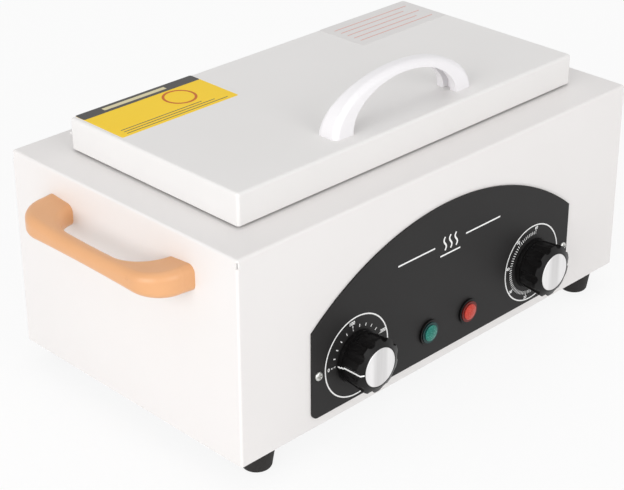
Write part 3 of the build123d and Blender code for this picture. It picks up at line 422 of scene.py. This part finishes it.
# %% [markdown]
# ## Signal lamps
# The lenses are coloured acrylic. Light that enters the dome comes back from the facets below it and
# sparkles, while the rim stands over the dark holder and stays deep. Real glass in a render would
# need that holder lit from inside, so the look is painted: a step in the distance from the lamp's
# axis parts dome and rim, and small cells stand for the facets.

# %% Lens finish
def lens(name, x, deep, pale, spark, dome_edge=4.8 * mm, rim_start=5.6 * mm):
    """Painted light and shade: pale on the dome and deep on the rim, by the distance
    sqrt(dx * dx + dz * dz) from the lamp's axis. spark is a painted glint near the points of the
    facets."""
    acrylic = Finish(name, Specular_IOR_Level=0.3)
    dx, dz = acrylic.axis("X") - x, acrylic.axis("Z") - lamp_z
    distance = acrylic.math("SQRT", dx * dx + dz * dz)
    rim = acrylic.remap(distance, dome_edge, rim_start, way="SMOOTHSTEP")
    frost = acrylic.noise(scale=700.0, detail=3.0)
    facet = acrylic.cells(scale=1100.0, out="Distance")
    glint = acrylic.remap(facet, 0.42, 0.12)
    dome = acrylic.blend(glint * 0.8, pale, spark)
    acrylic.feed(
        Base_Color=acrylic.blend(rim, dome, deep),
        Roughness=0.14 + frost * 0.12,
        Normal=acrylic.bump(frost + facet * 0.5, distance=0.00004, strength=0.6))
    return acrylic.material


green_lens = lens(
    "green_acrylic", green_lamp_x, deep=linear(8, 54, 54), pale=linear(8, 114, 100),
    spark=linear(80, 176, 160))
red_lens = lens(
    "red_acrylic", red_lamp_x, deep=linear(104, 24, 18), pale=linear(190, 52, 36),
    spark=linear(214, 98, 80))
print("lenses made:", green_lens.name, red_lens.name)

# %% [markdown]
# ## Giving each solid its finish
# Each solid could get its finish in a line of its own, but one table shows at once which solids share
# a finish, and the line below it prints any solid that was left out.

# %% Finish of every solid
finish_of = {
    casing_paint: ["outer_casing"],
    lid_paint: ["lid_shell"],
    panel_paint: ["control_panel"],
    base_zinc: ["base_plate"],
    shield_zinc: ["heat_shield"],
    screw_zinc: [
        "base_screws", "foot_screws", "foot_nuts", "thermostat_nut", "timer_nut", "handle_screws",
        "terminal_screws", "lid_handle_screws", "panel_screws"],
    foot_rubber: ["foot_front_left", "foot_front_right", "foot_rear_left", "foot_rear_right"],
    knob_plastic: ["thermostat_knob", "timer_knob", "green_lamp_holder", "red_lamp_holder"],
    left_cap_metal: ["thermostat_knob_cap"],
    right_cap_metal: ["timer_knob_cap"],
    pin_steel: ["thermostat_spindle", "timer_spindle", "left_hinge_pin", "right_hinge_pin"],
    fitting_plastic: [
        "thermostat_body", "timer_body", "lamp_nuts", "thermal_cutout", "cable_gland", "gland_nut"],
    copper: ["thermostat_probe"],
    green_lens: ["green_lamp_lens"],
    red_lens: ["red_lamp_lens"],
    handle_tan: ["left_handle", "right_handle"],
    handle_white: ["lid_handle"],
    stainless: ["chamber_liner", "instrument_tray", "element_clamps", "lid_inner_pan"],
    element_sheath: ["heating_element"],
    blanket_wool: ["chamber_insulation", "lid_insulation"],
    block_porcelain: ["terminal_block"],
    seal_rubber: ["lid_seal"],
    hinge_paint: [
        "left_hinge_base_leaf", "right_hinge_base_leaf", "left_hinge_lid_leaf",
        "right_hinge_lid_leaf", "hinge_base_screws", "hinge_lid_screws"],
}
finished = set()
for material, names in finish_of.items():
    for name in names:
        solids[name].data.materials.clear()
        solids[name].data.materials.append(material)
        finished.add(name)
print(len(finished), "solids finished, left over:", sorted(set(solids) - finished))

# %% [markdown]
# ## Surfaces from arrays
# What is printed or stuck on is a thin piece of its own. An image on the paint would blur and have
# no thickness, so each piece is a list of cross-sections carried along a path. They are held in one
# array of shape (sections, points, 3) and joined by four-sided faces.

# %% A piece from points and faces
def add_piece(name, points, faces, material, body):
    """One piece of the scene. It rides on a body of the machine and moves with it."""
    mesh = bpy.data.meshes.new(name)
    mesh.from_pydata(points.reshape(-1, 3).tolist(), [], faces)
    mesh.materials.append(material)
    piece = bpy.data.objects.new(name, mesh)
    bpy.context.scene.collection.objects.link(piece)
    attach(piece, body)
    return piece

# %% A closed skin from an array of sections
def skin(name, sections, material, body, looped=False):
    """Faces join point j of section i to point j + 1 of section i + 1. Unless the path is looped,
    the first and the last section close it as its ends."""
    count, around, _ = sections.shape
    i = np.arange(count if looped else count - 1)[:, None]
    j = np.arange(around)[None, :]
    next_i, next_j = (i + 1) % count, (j + 1) % around
    quads = np.stack([
        i * around + j, i * around + next_j, next_i * around + next_j, next_i * around + j], -1)
    faces = quads.reshape(-1, 4).tolist()
    if not looped:
        faces.append(list(range(around))[::-1])
        faces.append(list(range((count - 1) * around, count * around)))
    return add_piece(name, sections, faces, material, body)

# %% A flat band on the panel
ink_lift = 0.05 * mm


def ribbon(path, width):
    """The path is (n, 2) points of x and z. The band reaches half its width to both sides of it,
    from the panel's face to the ink's front. Returns its (n, 4, 3) sections."""
    along = np.gradient(path, axis=0)
    along /= np.linalg.norm(along, axis=1, keepdims=True)
    side = np.stack([along[:, 1], -along[:, 0]], -1) * width / 2
    left, right = path + side, path - side
    ink_front = panel_face - ink_lift
    corners = [(left, panel_face), (left, ink_front), (right, ink_front), (right, panel_face)]
    return np.stack([np.stack([p[:, 0], np.full(len(p), y), p[:, 1]], -1) for p, y in corners], 1)


print("ink lies from y =", round(panel_face, 5), "to", round(panel_face - ink_lift, 5))

# %% [markdown]
# ## Dial prints
# Screen print on a dark panel is an even white ink, a few hundredths of a millimetre thick. Each dial
# has a ring, ticks and numbers. A picture of the dial would be quicker, but it would blur in a close
# view. The ring is a band along a circle, carried one point past both ends before its sections are
# worked out, so that its slope is the same all the way round.

# %% Ink and the rings
ink = moulded("white_ink", linear(247, 247, 246), linear(238, 238, 237), gloss=0.5, grain=2600.0)
ring_radius, ring_width = 25.9 * mm, 0.85 * mm
ring_points = 180
turn = np.linspace(0, 2 * np.pi, ring_points + 1)[:-1]


def ring(name, x, radius, width):
    """A circle about a dial's centre: x + r cos a, z + r sin a."""
    path = np.stack([x + radius * np.cos(turn), dial_z + radius * np.sin(turn)], -1)
    sections = ribbon(np.concatenate([path[-1:], path, path[:1]]), width)[1:-1]
    return skin(name, sections, ink, "base", looped=True)


for side, x in (("left", left_dial_x), ("right", right_dial_x)):
    ring(f"{side}_dial_ring", x, ring_radius, ring_width)
print("two rings of radius", ring_radius, "m")

# %% [markdown]
# The ticks of one dial are one array: an angle for each tick, four corners in front and the same
# four on the panel. Seen from the front, the heat scale runs clockwise from the left, and the time
# scale anticlockwise from the top. Each has long marks among its ticks.

# %% Ticks
box_faces = np.array([
    [0, 1, 2, 3], [7, 6, 5, 4], [0, 4, 5, 1], [1, 5, 6, 2], [2, 6, 7, 3], [3, 7, 4, 0]])


def ticks(name, x, angles, inner, outer, width):
    """Bars at the given angles in degrees, each a box of eight corners: along the radius from inner
    to outer, and half the width to both sides of it."""
    a = np.radians(angles)[:, None]
    ones = np.ones_like(a)
    radial = np.concatenate([inner * ones, outer * ones, outer * ones, inner * ones], 1)
    half = width / 2 * np.array([[-1, -1, 1, 1]])
    px = x + radial * np.cos(a) - half * np.sin(a)
    pz = dial_z + radial * np.sin(a) + half * np.cos(a)
    front = np.stack([px, np.full_like(px, panel_face - ink_lift), pz], -1)
    back = np.stack([px, np.full_like(px, panel_face), pz], -1)
    points = np.concatenate([front, back], 1)
    faces = (np.arange(len(points))[:, None, None] * 8 + box_faces).reshape(-1, 4)
    return add_piece(name, points, faces.tolist(), ink, "base")


heat_count, heat_start, heat_step = 18, 180.0, 16.0
heat_angles = heat_start - heat_step * np.arange(heat_count)
heat_marks = heat_angles[::5]
ticks("heat_scale_ticks", left_dial_x, heat_angles, inner=18.4 * mm, outer=20.2 * mm, width=0.6 * mm)
ticks("heat_scale_marks", left_dial_x, heat_marks, inner=17.8 * mm, outer=21.2 * mm, width=0.75 * mm)
time_count, time_start, time_step = 61, 82.0, 4.43
time_angles = time_start + time_step * np.arange(time_count)
time_marks = time_angles[::10]
ticks("time_scale_ticks", right_dial_x, time_angles, inner=19.6 * mm, outer=21.8 * mm, width=0.5 * mm)
ticks("time_scale_marks", right_dial_x, time_marks, inner=19.6 * mm, outer=22.4 * mm, width=0.75 * mm)
print(len(heat_angles), "heat ticks and", len(time_angles), "time ticks")

# %% [markdown]
# Numbers start as Blender text, because a font has the right outlines already. The text becomes a
# mesh first. Its points are then placed as an array: each number keeps upright, and its own middle
# goes to the place on the scale.

# %% One number as a flat mesh
def figure(text, size, stroke_gain=0.12 * mm):
    """The points (n, 2) of a text about its own middle, and its faces. The outline is pushed out by
    stroke_gain, which makes the strokes bolder."""
    curve = bpy.data.curves.new("figure", "FONT")
    curve.body, curve.size, curve.resolution_u, curve.offset = text, size, 3, stroke_gain
    holder = bpy.data.objects.new("figure", curve)
    bpy.context.scene.collection.objects.link(holder)
    bpy.context.view_layer.update()
    flat = bpy.data.meshes.new_from_object(holder)
    xy = np.empty(len(flat.vertices) * 3)
    flat.vertices.foreach_get("co", xy)
    xy = xy.reshape(-1, 3)[:, :2]
    faces = [list(face.vertices) for face in flat.polygons]
    bpy.data.objects.remove(holder)
    bpy.data.curves.remove(curve)
    bpy.data.meshes.remove(flat)
    return xy - (xy.min(0) + xy.max(0)) / 2, faces

# %% Numbers
def figures(name, x, labels, radius, size):
    """labels is a list of (text, degrees). The middle of each text is at x + r cos a, z + r sin a."""
    points, faces, start = [], [], 0
    for text, degrees in labels:
        xy, own_faces = figure(text, size)
        a = math.radians(degrees)
        px, pz = x + radius * math.cos(a) + xy[:, 0], dial_z + radius * math.sin(a) + xy[:, 1]
        points.append(np.stack([px, np.full(len(xy), panel_face - ink_lift), pz], -1))
        faces += [[start + corner for corner in face] for face in own_faces]
        start += len(xy)
    return add_piece(name, np.concatenate(points), faces, ink, "base")


degrees_hot = [(str(100 * i), angle) for i, angle in enumerate(heat_marks)]
minutes_left = [(str(60 - 10 * i), angle) for i, angle in enumerate(time_marks)]
figures("heat_scale_numbers", left_dial_x, degrees_hot, radius=23.2 * mm, size=3.2 * mm)
figures("time_scale_numbers", right_dial_x, minutes_left, radius=24.0 * mm, size=2.8 * mm)
print("numbers:", [text for text, _ in degrees_hot], "and", [text for text, _ in minutes_left])

# %% [markdown]
# ## A plain heat symbol
# Between the dials the panel carries thin rules with three rising waves, a generic sign for warmth.
# They are the same ink and the same bands as the rings, along a sine wave and along straight lines.

# %% Waves and rules
symbol_z = casing_bottom + 79.0 * mm


def wave(x, z, height, swing):
    """A rising wave: x + swing * sin(2 pi t), z + height * t, with t from 0 to 1."""
    t = np.linspace(0, 1, 40)
    return np.stack([x + swing * np.sin(2 * np.pi * t), z + height * t], -1)


for i, x in enumerate((-5.0 * mm, 0.0, 5.0 * mm)):
    path = wave(x, symbol_z - 4 * mm, height=9 * mm, swing=1.1 * mm)
    skin(f"heat_wave_{i + 1}", ribbon(path, width=1.2 * mm), ink, "base")
rule_spans = [(-46, -14, 0.5), (14, 46, 0.5), (-9, 9, -7.0)]
for i, (left, right, up) in enumerate(rule_spans):
    path = np.array([[left * mm, symbol_z + up * mm], [right * mm, symbol_z + up * mm]])
    skin(f"panel_rule_{i + 1}", ribbon(path, width=1.0 * mm), ink, "base")
print("symbol at z =", round(symbol_z, 4), "with", len(rule_spans), "rules")

# %% [markdown]
# ## Pointer lines on the knobs
# A knob is read by a white line that lies in one of its flutes, runs up the side and over the sloped
# rim to the metal cap. A straight bar would float over the waist, so the line is a strip whose path
# follows the knob, given in radius and in height over the panel.

# %% Pointers
pointer_path = np.array([
    [16.6, 0.9], [16.6, 3.2],          # up the skirt ring
    [15.95, 3.25], [16.1, 4.75],       # up the waist to the foot of the flute
    [15.25, 4.85], [15.25, 17.47],     # along the flute
    [13.0, 18.58]]) * mm               # over the sloped rim to the cap
forward = np.array([0.0, -1.0, 0.0])


def pointer(name, x, degrees, body, width=0.95 * mm, thick=0.08 * mm):
    """A strip along centre + radius * out + height * forward, with out = (cos a, 0, sin a). It is as
    thick below the path as above it, along the normal that points away from the knob."""
    a = math.radians(degrees)
    out = np.array([math.cos(a), 0.0, math.sin(a)])
    across = np.array([-math.sin(a), 0.0, math.cos(a)]) * width / 2
    centre = np.array([x, panel_face, dial_z])
    base = centre + pointer_path[:, :1] * out + pointer_path[:, 1:] * forward
    lift = np.cross(np.gradient(base, axis=0), across)
    lift *= thick / np.linalg.norm(lift, axis=1, keepdims=True)
    lift *= np.sign((lift @ (out + forward))[:, None])
    corners = [-across - lift, across - lift, across + lift, -across + lift]
    return skin(name, np.stack([base + corner for corner in corners], 1), ink, body)


thermostat_degrees, timer_degrees = 180.0, 0.0
pointer("thermostat_pointer", left_dial_x, thermostat_degrees, "thermostat_dial")
pointer("timer_pointer", right_dial_x, timer_degrees, "timer_dial")
print("pointers at", thermostat_degrees, "and", timer_degrees, "degrees")

# %% [markdown]
# ## Stickers on the lid
# Two paper stickers lie near the lid's rear edge: a yellow sheet with a grey head, a bar, a ring and
# rules, and a pale sheet with faint red rules. An image on the lid would do from afar. Here each
# print is a very thin sheet that lies on its paper, so its edge is sharp up close, and no two layers
# share a plane, which would render as noise.

# %% Papers and prints
def printed_paper(name, paper, shade, gloss):
    """Fibre and cloud drive the colour towards its shade, and the fibre stands as height."""
    sheet = Finish(name, Specular_IOR_Level=0.15)
    fibre = sheet.noise(scale=1500.0, detail=3.0)
    cloud = sheet.noise(scale=40.0)
    sheet.feed(
        Base_Color=sheet.blend(fibre * 0.4 + cloud * 0.5, paper, shade),
        Roughness=gloss + (fibre - 0.5) * 0.1,
        Normal=sheet.bump(fibre, distance=0.00001, strength=0.6))
    return sheet.material


yellow_paper = printed_paper("yellow_paper", linear(254, 216, 52), linear(250, 206, 40), gloss=0.46)
grey_print = printed_paper("grey_print", linear(78, 77, 76), linear(66, 65, 64), gloss=0.42)
white_paper = printed_paper("white_paper", linear(230, 228, 227), linear(222, 219, 218), gloss=0.40)
cream_print = printed_paper("cream_print", linear(226, 216, 178), linear(214, 204, 164), gloss=0.45)
rust_print = printed_paper("rust_print", linear(206, 110, 36), linear(196, 98, 28), gloss=0.45)
red_print = printed_paper("red_print", linear(226, 176, 168), linear(220, 166, 158), gloss=0.45)
print("papers made:", yellow_paper.name, white_paper.name)
print("prints made:", grey_print.name, cream_print.name, rust_print.name, red_print.name)

# %% Sheets and rings on the lid
paper_thick, print_thick = 0.10 * mm, 0.02 * mm
paper_top = lid_top + paper_thick
head_top = paper_top + print_thick
corner_turn = np.linspace(0, 2 * np.pi, 33)[:-1]
off_axis = 1e-6  # turns the angles a little, so that a cosine or sine of 0 has a side


def sticker(name, span_x, span_y, base, thick, material, corner=1.2 * mm):
    """A sheet with rounded corners, from two sections: its outline at base and at base + thick. The
    outline is a circle of the corner's radius, whose quarters are pushed out to the four corners."""
    low_x, high_x = span_x
    low_y, high_y = span_y
    to_right = np.cos(corner_turn + off_axis) > 0
    to_back = np.sin(corner_turn + off_axis) > 0
    x = np.where(to_right, high_x - corner, low_x + corner) + np.cos(corner_turn) * corner
    y = np.where(to_back, high_y - corner, low_y + corner) + np.sin(corner_turn) * corner
    sections = np.stack([np.stack([x, y, np.full(len(x), z)], -1) for z in (base, base + thick)])
    return skin(name, sections, material, "lid")


def flat_ring(name, centre, radius, width, base, thick, material):
    """x + r cos a, y + r sin a, with r = radius -+ width / 2, from base to base + thick."""
    out = np.stack([np.cos(turn), np.sin(turn)], -1)
    inner, outer, top = radius - width / 2, radius + width / 2, base + thick
    corners = [(inner, base), (outer, base), (outer, top), (inner, top)]
    middle = np.array(centre)
    rows = [np.concatenate([middle + out * r, np.full((len(turn), 1), z)], 1) for r, z in corners]
    return skin(name, np.stack(rows, 1), material, "lid", looped=True)

# %% The yellow sticker
yellow_x, yellow_back = (-141.7 * mm, -51.7 * mm), front_y + 171.5 * mm
sticker(
    "yellow_sticker", yellow_x, (front_y + 127.0 * mm, yellow_back), lid_top, paper_thick,
    yellow_paper)
sticker(
    "yellow_sticker_head", yellow_x, (front_y + 162.5 * mm, yellow_back), paper_top, print_thick,
    grey_print)
sticker(
    "yellow_sticker_bar", (-124.0 * mm, -76.0 * mm), (front_y + 165.4 * mm, front_y + 168.8 * mm),
    head_top, print_thick, cream_print, corner=0.4 * mm)
flat_ring(
    "yellow_sticker_ring", (-79.0 * mm, front_y + 150.0 * mm), radius=10.0 * mm, width=1.7 * mm,
    base=paper_top, thick=print_thick, material=rust_print)

# %% The pale sticker, and the rules of both
sticker(
    "pale_sticker", (61.0 * mm, 143.0 * mm), (front_y + 131.0 * mm, front_y + 171.0 * mm), lid_top,
    paper_thick, white_paper)
for i in range(3):
    y = front_y + (129.6 + 2.8 * i) * mm
    sticker(
        f"yellow_sticker_rule_{i + 1}", (-136.0 * mm, (-58.0 - 8.0 * i) * mm), (y, y + 0.7 * mm),
        paper_top, print_thick, grey_print, corner=0.3 * mm)
for i in range(5):
    y = front_y + (138.0 + 6.0 * i) * mm
    sticker(
        f"pale_sticker_rule_{i + 1}", (67.0 * mm, (137.0 - 9.0 * (i % 2)) * mm), (y, y + 0.9 * mm),
        paper_top, print_thick, red_print, corner=0.3 * mm)
print("stickers on z =", round(lid_top, 4))

# %% [markdown]
# ## Floor and light
# The floor and the world are white to the camera, to mirror rays and through glass, so metal shows
# the same white background. For all other rays they shine at a lower level, and the pale paint keeps
# its tone. More light would whiten them too, but it would also wash out the paint. A broad soft lamp
# stands at the left, where the photograph is brightest, and weaker ones fill the front and the top.

# %% World
plain_level = 0.58


def sees_white(graph):
    """1 for camera, glossy and transmission rays, and 0 for all others: their sum, capped at 1."""
    ray = graph.node("ShaderNodeLightPath", out="Is Camera Ray")
    total = ray + ray.also("Is Glossy Ray") + ray.also("Is Transmission Ray")
    return graph.math("MINIMUM", total, 1.0)


world = bpy.data.worlds.new("studio_air")
world.use_nodes = True
bpy.context.scene.world = world
air = Graph(world.node_tree)
background = air.tree.nodes["Background"]
background.inputs["Color"].default_value = (1.0, 1.0, 1.0, 1.0)
air.link(sees_white(air) * (1.0 - plain_level) + plain_level, background.inputs["Strength"])
print("plain level of the world:", plain_level)

# %% Floor
def studio_floor(reach=6.0, white_share=0.86):
    """A square floor whose diffuse white is mixed with plain white for what the camera sees."""
    mesh = bpy.data.meshes.new("studio_floor")
    corners = [(-reach, -reach, 0), (reach, -reach, 0), (reach, reach, 0), (-reach, reach, 0)]
    mesh.from_pydata(corners, [], [(0, 1, 2, 3)])
    floor = bpy.data.objects.new("studio_floor", mesh)
    bpy.context.scene.collection.objects.link(floor)
    material = bpy.data.materials.new("floor_white")
    material.use_nodes = True
    ground = Graph(material.node_tree)
    ground.tree.nodes.remove(ground.tree.nodes["Principled BSDF"])
    matt = ground.node("ShaderNodeBsdfDiffuse", None, {"Color": (0.92, 0.92, 0.92, 1.0)})
    plain = ground.node("ShaderNodeEmission", None, {"Strength": 1.0})
    share = sees_white(ground) * white_share
    mixed = ground.node("ShaderNodeMixShader", None, {0: share, 1: matt, 2: plain})
    ground.link(mixed, ground.tree.nodes["Material Output"].inputs["Surface"])
    mesh.materials.append(material)
    return floor


floor = studio_floor()
print("floor:", rounded(floor.dimensions), "m")

# %% Lamps
def lamp(name, place, target, size, power):
    """A square area lamp, turned so that it looks from its place to the target."""
    light = bpy.data.lights.new(name, "AREA")
    light.shape, light.size, light.energy = "SQUARE", size, power
    holder = bpy.data.objects.new(name, light)
    bpy.context.scene.collection.objects.link(holder)
    aim = Vector(target) - Vector(place)
    turned = aim.to_track_quat("-Z", "Y").to_matrix().to_4x4()
    holder.matrix_world = Matrix.Translation(place) @ turned
    return holder


lamps = [
    lamp("left_lamp", place=(-2.3, -0.5, 0.8), target=(0, 0, 0.08), size=1.6, power=29.0),
    lamp("front_lamp", place=(-0.2, -2.3, 0.9), target=(0, 0, 0.08), size=1.4, power=17.0),
    lamp("top_lamp", place=(0.4, 0.3, 2.4), target=(0, 0, 0.1), size=1.6, power=5.0)]
print("lamps:", [(holder.name, holder.data.energy) for holder in lamps])

# %% [markdown]
# ## Camera
# The camera stands to the front left and looks down by 26 degrees. Its place, lens and shift come
# from a fit of the casing's corners and the dial rings in the photograph. The frame of the photograph
# is not centred on the lens axis, so the sensor is shifted a little.

# %% Camera
azimuth, elevation = math.radians(-45.05), math.radians(25.95)
camera_place = Vector((-0.6933, -0.6822, 0.5675))
image_width, image_height = 624, 490
focal_pixels = 1710.8
lens_axis_x, lens_axis_y = 323.5, 191.8
sensor_width = 36.0
camera_data = bpy.data.cameras.new("photo_camera")
camera_data.sensor_fit = "HORIZONTAL"
camera_data.sensor_width = sensor_width
camera_data.lens = sensor_width * focal_pixels / image_width
camera_data.shift_x = (image_width / 2 - lens_axis_x) / image_width
camera_data.shift_y = (lens_axis_y - image_height / 2) / image_width
camera_data.clip_end = 50.0
camera = bpy.data.objects.new("photo_camera", camera_data)
bpy.context.scene.collection.objects.link(camera)
back = Vector((
    math.sin(azimuth) * math.cos(elevation),
    -math.cos(azimuth) * math.cos(elevation),
    math.sin(elevation)))
right = (-back).cross(Vector((0, 0, 1))).normalized()
up = right.cross(-back)
turned = Matrix((right, up, back)).transposed().to_4x4()
camera.matrix_world = Matrix.Translation(camera_place) @ turned
bpy.context.scene.camera = camera
bpy.context.scene.view_settings.view_transform = "Standard"
print("lens", round(camera_data.lens, 2), "mm")
print("shift", rounded((camera_data.shift_x, camera_data.shift_y)))
